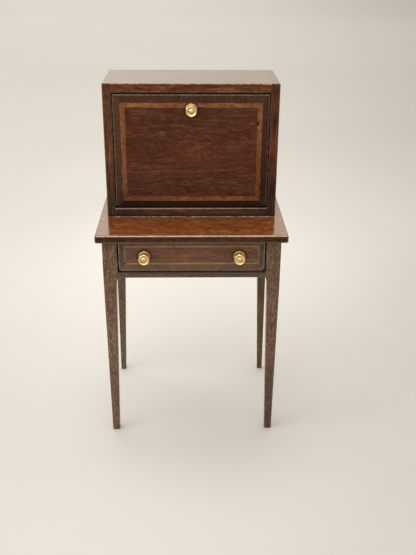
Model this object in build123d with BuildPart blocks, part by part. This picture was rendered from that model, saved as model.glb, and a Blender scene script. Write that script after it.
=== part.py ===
from build123d import *
import os

# A 1:12 dolls' house writing cabinet: a fall-front cabinet standing on a one-drawer table.
# Millimetres. +Z is up, the front faces -Y, and the origin is on the floor, at the middle of
# the whole outline, which runs in Y from the drawer knobs' tips to the table top's back edge.

os.makedirs("parts", exist_ok=True)

# ---- Driving dimensions -------------------------------------------------------------------

# Table
TABLE_WIDTH = 52.0
TABLE_DEPTH = 38.6
TABLE_HEIGHT = 63.2
TABLE_TOP_THICKNESS = 2.3
UPPER_ROUNDING = 0.6
LOWER_ROUNDING = 0.6
SIDE_OVERHANG = 1.75
FRONT_OVERHANG = 1.3
BACK_OVERHANG = 0.7

# Each leg is square. It narrows quickly to the knee, just below the apron, then evenly to the
# foot. A set-in is how far a section's outer corner stands inside the leg's own outer corner.
LEG_SQUARE = {"front": 4.0, "back": 3.2}
KNEE_SQUARE = {"front": 3.45, "back": 2.9}
FOOT_SQUARE = {"front": 2.0, "back": 1.6}
FOOT_SET_IN = {"front": 0.45, "back": -0.2}
KNEE_DROP = 1.5
BACK_LEG_SET_IN = 0.4
LEG_CORNER_RADIUS = 0.22
FOOT_CHAMFER = 0.12

APRON_HEIGHT = 10.6
APRON_THICKNESS = 2.0
APRON_SET_IN = 0.25
TENON_LENGTH = 1.2
TENON_SHOULDER = 0.5
RAIL_HEIGHT = 1.75
RAIL_SET_IN = 0.1

# Drawer
DRAWER_FACE_SET_IN = 1.4
DRAWER_SIDE_GAP = 0.35
DRAWER_UNDER_GAP = 0.3
DRAWER_RUNNING_GAP = 0.15
DRAWER_OVER_GAP = 0.2
DRAWER_FRONT_THICKNESS = 2.35
DRAWER_BOARD = 1.2
DRAWER_LAP = 1.0
DRAWER_LAP_RISE = 0.5
DRAWER_SIDE_INSET = 0.15
DRAWER_SIDE_DROP = 0.6
DRAWER_BACK_DROP = 1.0
DRAWER_BOTTOM_THICKNESS = 0.8
DRAWER_BOTTOM_RISE = 0.8
DRAWER_GROOVE = 0.5
DRAWER_LENGTH = 32.6
DRAWER_BORDER_SIDE = 1.5
DRAWER_BORDER_TOP = 0.95
DRAWER_BORDER_BOTTOM = 2.0
STRINGING_WIDTH = 0.45
DRAWER_KNOB_SPACING = 25.8
DRAWER_KNOB_LIFT = 0.15
DRAWER_BEVEL = 0.22
DRAWER_CORNER_RADIUS = 0.8

RUNNER_WIDTH = 2.2
GUIDE_CLEARANCE = 0.15
GUIDE_HEIGHT = 3.0
STOP_BLOCK_LENGTH = 3.0
STOP_BLOCK_HEIGHT = 0.65
STOP_BLOCK_SPACING = 20.0
STOP_GAP = 0.1

# Cabinet
CABINET_WIDTH = 47.5
CABINET_DEPTH = 21.6
CABINET_HEIGHT = 37.2
CABINET_FROM_TABLE_FRONT = 15.3
CABINET_SIDE = 2.4
CABINET_TOP = 2.5
CABINET_FLOOR = 2.4
CABINET_BACK = 1.2
REBATE = 1.2
OPENING_BEVEL = 0.25
ARRIS = 0.2

SHELF_THICKNESS = 1.2
SHELF_HOUSING = 0.6
PIGEONHOLE_HEIGHT = 12.9
DIVIDER_THICKNESS = 1.0
DIVIDER_COUNT = 3
SHELF_BEHIND_FALL = 1.0
DIVIDER_BEHIND_FALL = 2.6
STOP_STRIP = 1.6

# Fall front
FALL_THICKNESS = 2.4
FALL_SIDE_GAP = 0.2
FALL_TOP_GAP = 0.35
FALL_FLOOR_GAP = 0.15
FALL_BORDER_SIDE = 1.9
FALL_BORDER_TOP = 2.2
FALL_BORDER_BOTTOM = 2.05
FALL_BAND = 1.4
FALL_BEVEL = 0.28
FALL_KNOB_DROP = 4.0
PIN_RADIUS = 0.3
PIN_CLEARANCE = 0.05
PIN_SET_IN = 1.05
PIN_REACH = 3.0

VENEER = 0.35

# Turned brass knob: each radius goes with its distance out from the face
KNOB_LENGTH = 2.9
KNOB_FLANGE_RADIUS = 1.6
KNOB_FLANGE_THICKNESS = 0.4
KNOB_COVE_RADIUS = 1.1
KNOB_NECK_RADIUS = 0.72
KNOB_NECK_OUT = 1.15
KNOB_HEAD_BACK_RADIUS = 1.32
KNOB_HEAD_BACK_OUT = 1.9
KNOB_HEAD_RADIUS = 1.56
KNOB_RIM_RADIUS = 1.3
KNOB_RIM_OUT = 2.72
KNOB_GROOVE_RADIUS = 0.8
KNOB_GROOVE_OUT = 2.5
KNOB_SPIGOT_RADIUS = 0.5
KNOB_SPIGOT_LENGTH = 1.8

# ---- Places worked out from them ----------------------------------------------------------

KNOB_REACH = KNOB_LENGTH - DRAWER_FACE_SET_IN
TABLE_FRONT = (KNOB_REACH - TABLE_DEPTH) / 2
TABLE_BACK = TABLE_FRONT + TABLE_DEPTH
TABLE_UNDERSIDE = TABLE_HEIGHT - TABLE_TOP_THICKNESS

LEG_OUTER = TABLE_WIDTH / 2 - SIDE_OVERHANG
LEG_INNER = LEG_OUTER - LEG_SQUARE["front"]
LEG_FRONT = TABLE_FRONT + FRONT_OVERHANG
LEG_BACK = TABLE_BACK - BACK_OVERHANG
FRONT_LEG_REAR = LEG_FRONT + LEG_SQUARE["front"]
BACK_LEG_OUTER = LEG_OUTER - BACK_LEG_SET_IN
BACK_LEG_INNER = BACK_LEG_OUTER - LEG_SQUARE["back"]
BACK_LEG_NEAR = LEG_BACK - LEG_SQUARE["back"]

APRON_BOTTOM = TABLE_UNDERSIDE - APRON_HEIGHT
APRON_OUTER = BACK_LEG_OUTER - APRON_SET_IN
APRON_INNER = APRON_OUTER - APRON_THICKNESS
BACK_APRON_REAR = LEG_BACK - APRON_SET_IN
BACK_APRON_NEAR = BACK_APRON_REAR - APRON_THICKNESS
RAIL_TOP = APRON_BOTTOM + RAIL_HEIGHT
RAIL_FRONT = LEG_FRONT + RAIL_SET_IN

DRAWER_FACE = TABLE_FRONT + DRAWER_FACE_SET_IN
DRAWER_FRONT_REAR = DRAWER_FACE + DRAWER_FRONT_THICKNESS
DRAWER_END = DRAWER_FACE + DRAWER_LENGTH
DRAWER_HALF = LEG_INNER - DRAWER_SIDE_GAP
DRAWER_LOW = RAIL_TOP + DRAWER_UNDER_GAP
DRAWER_SIDE_LOW = RAIL_TOP + DRAWER_RUNNING_GAP
DRAWER_HIGH = TABLE_UNDERSIDE - DRAWER_OVER_GAP
DRAWER_SIDE_OUTER = DRAWER_HALF - DRAWER_SIDE_INSET
DRAWER_SIDE_INNER = DRAWER_SIDE_OUTER - DRAWER_BOARD
DRAWER_PANEL_LOW = DRAWER_LOW + DRAWER_BOTTOM_RISE
DRAWER_PANEL_HIGH = DRAWER_PANEL_LOW + DRAWER_BOTTOM_THICKNESS

CABINET_FRONT = TABLE_FRONT + CABINET_FROM_TABLE_FRONT
CABINET_REAR = CABINET_FRONT + CABINET_DEPTH
CABINET_HALF = CABINET_WIDTH / 2
CABINET_INSIDE = CABINET_HALF - CABINET_SIDE
CABINET_LOW = TABLE_HEIGHT
CABINET_HIGH = TABLE_HEIGHT + CABINET_HEIGHT
OPENING_LOW = CABINET_LOW + CABINET_FLOOR
OPENING_HIGH = CABINET_HIGH - CABINET_TOP
BACK_PANEL_NEAR = CABINET_REAR - CABINET_BACK
SHELF_TOP = OPENING_HIGH - PIGEONHOLE_HEIGHT
SHELF_LOW = SHELF_TOP - SHELF_THICKNESS

FALL_HALF = CABINET_INSIDE - FALL_SIDE_GAP
FALL_LOW = OPENING_LOW + FALL_FLOOR_GAP
FALL_HIGH = OPENING_HIGH - FALL_TOP_GAP
FALL_REAR = CABINET_FRONT + FALL_THICKNESS
PIN_Y = CABINET_FRONT + PIN_SET_IN
PIN_Z = FALL_LOW + PIN_SET_IN

SIDES = {"left": -1, "right": 1}


# ---- Helpers ------------------------------------------------------------------------------

def facing_front(y):
    """The upright plane at y: its own x runs along +X, its own y up, and it faces -Y."""
    return Plane.XZ.offset(-y)


def block(low, high, mode=Mode.ADD):
    """Joins a box, given by its lowest and highest corners, to the part being built."""
    centre = tuple((a + b) / 2 for a, b in zip(low, high))
    size = [b - a for a, b in zip(low, high)]
    with Locations(centre):
        Box(*size, mode=mode)


def sided_block(side, inner, outer, near, far, low, high, mode=Mode.ADD):
    """A box on one side of the middle: inner and outer are distances from the middle plane."""
    lowest = (min(side * inner, side * outer), near, low)
    highest = (max(side * inner, side * outer), far, high)
    block(lowest, highest, mode)


def rod(radius, start, direction, length, mode=Mode.ADD):
    """Joins a round rod that begins at start and runs length along direction."""
    with Locations(Plane(origin=start, z_dir=direction)):
        Cylinder(radius, length, align=(Align.CENTER, Align.CENTER, Align.MIN), mode=mode)


def save(builder, name):
    """Labels a finished piece and writes its STEP file."""
    builder.part.label = name
    export_step(builder.part, f"parts/{name}.step")


def rectangle_corners(half_width, low, high):
    """Corners of a rectangle in the upright plane, from bottom left, anticlockwise."""
    return [(-half_width, low), (half_width, low), (half_width, high), (-half_width, high)]


def mitred_frame(outer, inner):
    """The four mitred strips between two rectangles, each as its own outline."""
    strips = {}
    for index, place in enumerate(("bottom", "right", "top", "left")):
        following = (index + 1) % len(outer)
        strips[place] = [outer[index], outer[following], inner[following], inner[index]]
    return strips


# ---- Table --------------------------------------------------------------------------------

def make_table_top():
    half = TABLE_WIDTH / 2
    with BuildPart() as table_top:
        block((-half, TABLE_FRONT, TABLE_UNDERSIDE), (half, TABLE_BACK, TABLE_HEIGHT))
        fillet(table_top.edges().filter_by(Axis.Z), UPPER_ROUNDING)
        fillet(table_top.faces().sort_by(Axis.Z)[-1].edges(), UPPER_ROUNDING)
        fillet(table_top.faces().sort_by(Axis.Z)[0].edges(), LOWER_ROUNDING)
    save(table_top, "table_top")


def leg_centre(end, hand, square, set_in):
    """The middle of a leg's section, which keeps to the leg's outer corner as it gets smaller."""
    outer = LEG_OUTER if end == "front" else BACK_LEG_OUTER
    x = SIDES[hand] * (outer - set_in - square / 2)
    if end == "front":
        return (x, LEG_FRONT + set_in + square / 2)
    return (x, LEG_BACK - set_in - square / 2)


def make_leg(end, hand):
    """A square leg that tapers below the apron, mostly on its two inner faces."""
    sections = (
        (TABLE_UNDERSIDE, LEG_SQUARE[end], 0),
        (APRON_BOTTOM, LEG_SQUARE[end], 0),
        (APRON_BOTTOM - KNEE_DROP, KNEE_SQUARE[end], 0),
        (0, FOOT_SQUARE[end], FOOT_SET_IN[end]),
    )
    with BuildPart() as leg:
        for height, square, set_in in sections:
            with BuildSketch(Plane.XY.offset(height)):
                with Locations(leg_centre(end, hand, square, set_in)):
                    RectangleRounded(square, square, LEG_CORNER_RADIUS)
        loft(ruled=True)
        chamfer(leg.faces().sort_by(Axis.Z)[0].edges(), FOOT_CHAMFER)
        side_apron_tenons(SIDES[hand], Mode.SUBTRACT)
        if end == "front":
            front_rail_tenons(Mode.SUBTRACT)
        else:
            back_apron_tenons(Mode.SUBTRACT)
    save(leg, f"leg_{end}_{hand}")


def side_apron_tenons(side, mode):
    """The side apron's two tenons, or with Mode.SUBTRACT the mortises that take them."""
    for near, far in (
        (FRONT_LEG_REAR - TENON_LENGTH, FRONT_LEG_REAR),
        (BACK_LEG_NEAR, BACK_LEG_NEAR + TENON_LENGTH),
    ):
        sided_block(
            side,
            APRON_INNER + TENON_SHOULDER,
            APRON_OUTER - TENON_SHOULDER,
            near,
            far,
            APRON_BOTTOM + TENON_SHOULDER,
            TABLE_UNDERSIDE - TENON_SHOULDER,
            mode,
        )


def back_apron_tenons(mode):
    """The back apron's two tenons, or the mortises that take them."""
    for side in SIDES.values():
        sided_block(
            side,
            BACK_LEG_INNER,
            BACK_LEG_INNER + TENON_LENGTH,
            BACK_APRON_NEAR + TENON_SHOULDER,
            BACK_APRON_REAR - TENON_SHOULDER,
            APRON_BOTTOM + TENON_SHOULDER,
            TABLE_UNDERSIDE - TENON_SHOULDER,
            mode,
        )


def front_rail_tenons(mode):
    """The front rail's two tenons, or the mortises that take them."""
    for side in SIDES.values():
        sided_block(
            side,
            LEG_INNER,
            LEG_INNER + TENON_LENGTH,
            RAIL_FRONT + TENON_SHOULDER,
            FRONT_LEG_REAR - TENON_SHOULDER,
            APRON_BOTTOM + TENON_SHOULDER,
            RAIL_TOP - TENON_SHOULDER,
            mode,
        )


def make_side_apron(hand):
    side = SIDES[hand]
    with BuildPart() as apron:
        sided_block(
            side, APRON_INNER, APRON_OUTER, FRONT_LEG_REAR, BACK_LEG_NEAR, APRON_BOTTOM, TABLE_UNDERSIDE
        )
        bottom_edges = apron.faces().sort_by(Axis.Z)[0].edges().filter_by(Axis.Y)
        fillet(bottom_edges, ARRIS)
        side_apron_tenons(side, Mode.ADD)
    save(apron, f"apron_{hand}")


def make_back_apron():
    with BuildPart() as apron:
        block(
            (-BACK_LEG_INNER, BACK_APRON_NEAR, APRON_BOTTOM),
            (BACK_LEG_INNER, BACK_APRON_REAR, TABLE_UNDERSIDE),
        )
        bottom_edges = apron.faces().sort_by(Axis.Z)[0].edges().filter_by(Axis.X)
        fillet(bottom_edges, ARRIS)
        back_apron_tenons(Mode.ADD)
    save(apron, "apron_back")


def make_front_rail():
    with BuildPart() as rail:
        block((-LEG_INNER, RAIL_FRONT, APRON_BOTTOM), (LEG_INNER, FRONT_LEG_REAR, RAIL_TOP))
        front_edges = rail.faces().sort_by(Axis.Y)[0].edges().filter_by(Axis.X)
        fillet(front_edges, ARRIS)
        front_rail_tenons(Mode.ADD)
    save(rail, "front_rail")


def make_runner(hand):
    """The strip that a drawer side slides on, between the front rail and the back apron."""
    with BuildPart() as runner:
        sided_block(
            SIDES[hand],
            BACK_LEG_INNER - RUNNER_WIDTH,
            BACK_LEG_INNER,
            FRONT_LEG_REAR,
            BACK_APRON_NEAR,
            APRON_BOTTOM,
            RAIL_TOP,
        )
    save(runner, f"drawer_runner_{hand}")


def make_guide(hand):
    """The strip on the runner and the apron that keeps the drawer straight as it slides."""
    with BuildPart() as guide:
        sided_block(
            SIDES[hand],
            DRAWER_SIDE_OUTER + GUIDE_CLEARANCE,
            APRON_INNER,
            FRONT_LEG_REAR,
            BACK_LEG_NEAR,
            RAIL_TOP,
            RAIL_TOP + GUIDE_HEIGHT,
        )
    save(guide, f"drawer_guide_{hand}")


def make_stop_block(hand):
    """A block on the front rail that the closing drawer front comes up against."""
    middle = STOP_BLOCK_SPACING / 2
    with BuildPart() as stop:
        sided_block(
            SIDES[hand],
            middle - STOP_BLOCK_LENGTH / 2,
            middle + STOP_BLOCK_LENGTH / 2,
            DRAWER_FRONT_REAR + STOP_GAP,
            FRONT_LEG_REAR,
            RAIL_TOP,
            RAIL_TOP + STOP_BLOCK_HEIGHT,
        )
    save(stop, f"drawer_stop_{hand}")


# ---- Knobs --------------------------------------------------------------------------------

def make_knob(name, x, face_y, z):
    """A turned knob on a spigot. Its outline lies in the level plane of its axis."""
    outline_plane = Plane(origin=(x, face_y, z), x_dir=(1, 0, 0), z_dir=(0, 0, 1))
    flange_middle = KNOB_FLANGE_THICKNESS / 2
    flange_flat = KNOB_FLANGE_RADIUS - flange_middle
    spigot_end = (KNOB_SPIGOT_RADIUS, KNOB_SPIGOT_LENGTH)
    flange_back = (flange_flat, 0)
    flange_front = (flange_flat, -KNOB_FLANGE_THICKNESS)
    cove = (KNOB_COVE_RADIUS, -KNOB_FLANGE_THICKNESS)
    neck = (KNOB_NECK_RADIUS, -KNOB_NECK_OUT)
    head_back = (KNOB_HEAD_BACK_RADIUS, -KNOB_HEAD_BACK_OUT)
    head_middle = (KNOB_HEAD_RADIUS, -(KNOB_HEAD_BACK_OUT + KNOB_RIM_OUT) / 2)
    rim = (KNOB_RIM_RADIUS, -KNOB_RIM_OUT)
    groove = (KNOB_GROOVE_RADIUS, -KNOB_GROOVE_OUT)
    tip = (0, -KNOB_LENGTH)
    with BuildPart() as knob:
        with BuildSketch(outline_plane):
            with BuildLine():
                Polyline(tip, (0, KNOB_SPIGOT_LENGTH), spigot_end, (KNOB_SPIGOT_RADIUS, 0), flange_back)
                ThreePointArc(flange_back, (KNOB_FLANGE_RADIUS, -flange_middle), flange_front)
                Line(flange_front, cove)
                ThreePointArc(cove, neck, head_back)
                ThreePointArc(head_back, head_middle, rim)
                Line(rim, groove)
                TangentArc(tip, groove, tangent=(1, 0))
            make_face()
        revolve(axis=Axis((x, face_y, z), (0, 1, 0)))
    save(knob, name)


def knob_hole(x, face_y, z):
    """Drills the part being built for a knob's spigot."""
    rod(KNOB_SPIGOT_RADIUS, (x, face_y, z), (0, 1, 0), KNOB_SPIGOT_LENGTH, Mode.SUBTRACT)


# ---- Veneered panels ----------------------------------------------------------------------

def make_veneer(name, outline, face_y, panel_shape, knobs):
    """One flat piece of veneer or inlay, trimmed to the shape of the panel that it is on."""
    with BuildPart() as piece:
        with BuildSketch(facing_front(face_y)):
            with BuildLine():
                Polyline(*outline, close=True)
            make_face()
        extrude(amount=-VENEER)
        add(panel_shape, mode=Mode.INTERSECT)
        for x, z in knobs:
            knob_hole(x, face_y, z)
    save(piece, name)


def make_face_work(prefix, half, low, high, borders, line_width, line_name, face_y, panel_shape, knobs):
    """Crossbanding, a line inside it and the field inside that, over one panel's face."""
    border_side, border_top, border_bottom = borders
    edge = rectangle_corners(half, low, high)
    line_outer = rectangle_corners(half - border_side, low + border_bottom, high - border_top)
    field = rectangle_corners(
        half - border_side - line_width,
        low + border_bottom + line_width,
        high - border_top - line_width,
    )
    for place, outline in mitred_frame(edge, line_outer).items():
        make_veneer(f"{prefix}_crossbanding_{place}", outline, face_y, panel_shape, [])
    for place, outline in mitred_frame(line_outer, field).items():
        holes = knobs if place == "top" else []
        make_veneer(f"{prefix}_{line_name}_{place}", outline, face_y, panel_shape, holes)
    make_veneer(f"{prefix}_field_veneer", field, face_y, panel_shape, knobs)


# ---- Drawer -------------------------------------------------------------------------------

DRAWER_KNOB_Z = (DRAWER_LOW + DRAWER_HIGH) / 2 + DRAWER_KNOB_LIFT
DRAWER_KNOBS = [(side * DRAWER_KNOB_SPACING / 2, DRAWER_KNOB_Z) for side in SIDES.values()]


def drawer_side_block(hand, near, far, low, mode):
    """A length of a drawer side, from low up to the side's top edge."""
    high = DRAWER_HIGH - DRAWER_SIDE_DROP
    sided_block(SIDES[hand], DRAWER_SIDE_INNER, DRAWER_SIDE_OUTER, near, far, low, high, mode)


def drawer_lap(hand, mode):
    """The end of a drawer side that is glued into the drawer front, or the room for it."""
    near = DRAWER_FRONT_REAR - DRAWER_LAP
    drawer_side_block(hand, near, DRAWER_FRONT_REAR, DRAWER_LOW + DRAWER_LAP_RISE, mode)


def drawer_bottom_space(mode):
    """The drawer bottom's block, or the groove that holds its edges."""
    half = DRAWER_SIDE_INNER + DRAWER_GROOVE
    near = DRAWER_FRONT_REAR - DRAWER_GROOVE
    block((-half, near, DRAWER_PANEL_LOW), (half, DRAWER_END, DRAWER_PANEL_HIGH), mode)


def drawer_front_shape():
    """The veneered drawer front as one shape: round lower corners, and a bevel around its face."""
    with BuildPart() as shape:
        block((-DRAWER_HALF, DRAWER_FACE, DRAWER_LOW), (DRAWER_HALF, DRAWER_FRONT_REAR, DRAWER_HIGH))
        fillet(shape.edges().filter_by(Axis.Y).group_by(Axis.Z)[0], DRAWER_CORNER_RADIUS)
        chamfer(shape.faces().sort_by(Axis.Y)[0].edges(), DRAWER_BEVEL)
    return shape.part


def make_drawer():
    shape = drawer_front_shape()
    with BuildPart() as drawer_front:
        block(
            (-DRAWER_HALF, DRAWER_FACE + VENEER, DRAWER_LOW),
            (DRAWER_HALF, DRAWER_FRONT_REAR, DRAWER_HIGH),
        )
        add(shape, mode=Mode.INTERSECT)
        for hand in SIDES:
            drawer_lap(hand, Mode.SUBTRACT)
        drawer_bottom_space(Mode.SUBTRACT)
        for x, z in DRAWER_KNOBS:
            knob_hole(x, DRAWER_FACE, z)
    save(drawer_front, "drawer_front")

    for hand in SIDES:
        with BuildPart() as drawer_side:
            drawer_side_block(hand, DRAWER_FRONT_REAR, DRAWER_END, DRAWER_SIDE_LOW, Mode.ADD)
            drawer_lap(hand, Mode.ADD)
            drawer_bottom_space(Mode.SUBTRACT)
        save(drawer_side, f"drawer_side_{hand}")

    with BuildPart() as drawer_bottom:
        drawer_bottom_space(Mode.ADD)
    save(drawer_bottom, "drawer_bottom")

    with BuildPart() as drawer_back:
        block(
            (-DRAWER_SIDE_INNER, DRAWER_END - DRAWER_BOARD, DRAWER_PANEL_HIGH),
            (DRAWER_SIDE_INNER, DRAWER_END, DRAWER_HIGH - DRAWER_BACK_DROP),
        )
    save(drawer_back, "drawer_back")

    make_face_work(
        "drawer",
        DRAWER_HALF,
        DRAWER_LOW,
        DRAWER_HIGH,
        (DRAWER_BORDER_SIDE, DRAWER_BORDER_TOP, DRAWER_BORDER_BOTTOM),
        STRINGING_WIDTH,
        "stringing",
        DRAWER_FACE,
        shape,
        DRAWER_KNOBS,
    )
    for hand, (x, z) in zip(SIDES, DRAWER_KNOBS):
        make_knob(f"drawer_knob_{hand}", x, DRAWER_FACE, z)


# ---- Cabinet ------------------------------------------------------------------------------

def back_panel_space(mode):
    """The back panel's block, or the rebate that takes it."""
    half = CABINET_INSIDE + REBATE
    low = OPENING_LOW - REBATE
    high = OPENING_HIGH + REBATE
    block((-half, BACK_PANEL_NEAR, low), (half, CABINET_REAR, high), mode)


def shelf_space(mode):
    """The shelf's block, or the housings that take its ends."""
    half = CABINET_INSIDE + SHELF_HOUSING
    near = FALL_REAR + SHELF_BEHIND_FALL
    block((-half, near, SHELF_LOW), (half, BACK_PANEL_NEAR, SHELF_TOP), mode)


def opening_bevel():
    """The bevel around the front of the opening, as the wood that it takes away."""
    width = 2 * CABINET_INSIDE
    height = OPENING_HIGH - OPENING_LOW
    with BuildPart() as bevel:
        with BuildSketch(facing_front(CABINET_FRONT + OPENING_BEVEL)):
            with Locations((0, (OPENING_LOW + OPENING_HIGH) / 2)):
                Rectangle(width, height)
        extrude(amount=OPENING_BEVEL, taper=-45)
    return bevel.part


def hinge_pin_hole(side, radius):
    """Drills a hinge pin's hole from the cabinet's outside to the pin's inner end."""
    start = (side * CABINET_HALF, PIN_Y, PIN_Z)
    length = CABINET_SIDE + FALL_SIDE_GAP + PIN_REACH + PIN_CLEARANCE
    rod(radius, start, (-side, 0, 0), length, Mode.SUBTRACT)


def make_cabinet_side(hand, bevel):
    side = SIDES[hand]
    with BuildPart() as board:
        sided_block(
            side, CABINET_INSIDE, CABINET_HALF, CABINET_FRONT, CABINET_REAR, CABINET_LOW, CABINET_HIGH
        )
        outer_face = board.faces().sort_by(Axis.X)[0 if side < 0 else -1]
        upright_edges = outer_face.edges().filter_by(Axis.Z)
        outer_upper_edge = outer_face.edges().filter_by(Axis.Y).sort_by(Axis.Z)[-1:]
        end_edges = board.faces().sort_by(Axis.Z)[-1].edges().filter_by(Axis.X)
        fillet(upright_edges + outer_upper_edge + end_edges, ARRIS)
        back_panel_space(Mode.SUBTRACT)
        shelf_space(Mode.SUBTRACT)
        add(bevel, mode=Mode.SUBTRACT)
        hinge_pin_hole(side, PIN_RADIUS)
    save(board, f"cabinet_side_{hand}")


def make_cabinet_top(bevel):
    with BuildPart() as board:
        block(
            (-CABINET_INSIDE, CABINET_FRONT, OPENING_HIGH),
            (CABINET_INSIDE, CABINET_REAR, CABINET_HIGH),
        )
        fillet(board.faces().sort_by(Axis.Z)[-1].edges().filter_by(Axis.X), ARRIS)
        back_panel_space(Mode.SUBTRACT)
        add(bevel, mode=Mode.SUBTRACT)
    save(board, "cabinet_top")


def make_cabinet_floor(bevel):
    with BuildPart() as board:
        block(
            (-CABINET_INSIDE, CABINET_FRONT, CABINET_LOW),
            (CABINET_INSIDE, CABINET_REAR, OPENING_LOW),
        )
        back_panel_space(Mode.SUBTRACT)
        add(bevel, mode=Mode.SUBTRACT)
    save(board, "cabinet_floor")


def make_cabinet():
    bevel = opening_bevel()
    for hand in SIDES:
        make_cabinet_side(hand, bevel)
    make_cabinet_top(bevel)
    make_cabinet_floor(bevel)

    with BuildPart() as back_panel:
        back_panel_space(Mode.ADD)
    save(back_panel, "cabinet_back")

    strip_near = FALL_REAR + STOP_GAP
    with BuildPart() as stop_strip:
        block(
            (-CABINET_INSIDE, strip_near, OPENING_HIGH - STOP_STRIP),
            (CABINET_INSIDE, strip_near + STOP_STRIP, OPENING_HIGH),
        )
    save(stop_strip, "fall_stop_strip")

    with BuildPart() as shelf:
        shelf_space(Mode.ADD)
    save(shelf, "cabinet_shelf")

    pitch = (2 * CABINET_INSIDE + DIVIDER_THICKNESS) / (DIVIDER_COUNT + 1)
    for index in range(DIVIDER_COUNT):
        left_face = -CABINET_INSIDE + (index + 1) * pitch - DIVIDER_THICKNESS
        with BuildPart() as divider:
            block(
                (left_face, FALL_REAR + DIVIDER_BEHIND_FALL, SHELF_TOP),
                (left_face + DIVIDER_THICKNESS, BACK_PANEL_NEAR, OPENING_HIGH),
            )
        save(divider, f"pigeonhole_divider_{index + 1}")


# ---- Fall front ---------------------------------------------------------------------------

FALL_KNOB_Z = FALL_HIGH - FALL_KNOB_DROP


def fall_shape():
    """The veneered fall as one shape: bevelled edges, and a bottom rounded about the pins."""
    with BuildPart() as shape:
        block((-FALL_HALF, CABINET_FRONT, FALL_LOW), (FALL_HALF, FALL_REAR, FALL_HIGH))
        level_edges = shape.faces().sort_by(Axis.Y)[0].edges().filter_by(Axis.X)
        fillet(level_edges.sort_by(Axis.Z)[:1], PIN_SET_IN)
        face_edges = shape.faces().sort_by(Axis.Y)[0].edges()
        top_edge = face_edges.filter_by(Axis.X).sort_by(Axis.Z)[-1:]
        chamfer(face_edges.filter_by(Axis.Z) + top_edge, FALL_BEVEL)
    return shape.part


def make_fall():
    shape = fall_shape()
    knobs = [(0, FALL_KNOB_Z)]
    with BuildPart() as fall_panel:
        block((-FALL_HALF, CABINET_FRONT + VENEER, FALL_LOW), (FALL_HALF, FALL_REAR, FALL_HIGH))
        add(shape, mode=Mode.INTERSECT)
        for side in SIDES.values():
            hinge_pin_hole(side, PIN_RADIUS + PIN_CLEARANCE)
        for x, z in knobs:
            knob_hole(x, CABINET_FRONT, z)
    save(fall_panel, "fall_panel")

    make_face_work(
        "fall",
        FALL_HALF,
        FALL_LOW,
        FALL_HIGH,
        (FALL_BORDER_SIDE, FALL_BORDER_TOP, FALL_BORDER_BOTTOM),
        FALL_BAND,
        "band",
        CABINET_FRONT,
        shape,
        knobs,
    )
    for x, z in knobs:
        make_knob("fall_knob", x, CABINET_FRONT, z)

    for hand, side in SIDES.items():
        with BuildPart() as pin:
            start = (side * CABINET_HALF, PIN_Y, PIN_Z)
            rod(PIN_RADIUS, start, (-side, 0, 0), CABINET_SIDE + FALL_SIDE_GAP + PIN_REACH)
        save(pin, f"hinge_pin_{hand}")


# ---- Build everything ---------------------------------------------------------------------

make_table_top()
for leg_end in ("front", "back"):
    for leg_hand in SIDES:
        make_leg(leg_end, leg_hand)
for table_hand in SIDES:
    make_side_apron(table_hand)
    make_runner(table_hand)
    make_guide(table_hand)
    make_stop_block(table_hand)
make_back_apron()
make_front_rail()
make_drawer()
make_cabinet()
make_fall()
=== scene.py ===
import math
import random

import bmesh
import bpy
from mathutils import Matrix, Vector


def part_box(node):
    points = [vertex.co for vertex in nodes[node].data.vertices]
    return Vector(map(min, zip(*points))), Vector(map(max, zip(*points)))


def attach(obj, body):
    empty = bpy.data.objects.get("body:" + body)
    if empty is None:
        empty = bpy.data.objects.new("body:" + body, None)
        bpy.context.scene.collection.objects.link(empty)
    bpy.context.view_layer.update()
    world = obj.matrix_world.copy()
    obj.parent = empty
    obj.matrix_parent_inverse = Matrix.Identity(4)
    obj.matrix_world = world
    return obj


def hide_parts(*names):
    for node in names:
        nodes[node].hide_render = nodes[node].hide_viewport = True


# The looks of a 1:12 dolls' house writing cabinet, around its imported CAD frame: woods, brass,
# studio and camera. Blender units are metres. Shader coordinates are in millimetres on the
# cabinet, and in metres on the floor and the cards. Colours are linear.

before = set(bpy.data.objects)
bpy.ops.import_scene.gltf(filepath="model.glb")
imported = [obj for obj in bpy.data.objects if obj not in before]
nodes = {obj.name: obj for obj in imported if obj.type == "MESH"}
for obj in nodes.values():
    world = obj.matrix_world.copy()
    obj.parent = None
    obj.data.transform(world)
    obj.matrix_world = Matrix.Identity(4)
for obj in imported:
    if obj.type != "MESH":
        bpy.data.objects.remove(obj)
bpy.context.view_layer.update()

MM = 0.001
PER_METRE = 1000.0
PLACES = ("bottom", "right", "top", "left")
HANDS = ("left", "right")
OPPOSITE = {"bottom": "top", "top": "bottom", "left": "right", "right": "left"}
X, Y, Z = range(3)


# ---- Shader building ----------------------------------------------------------------------

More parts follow.
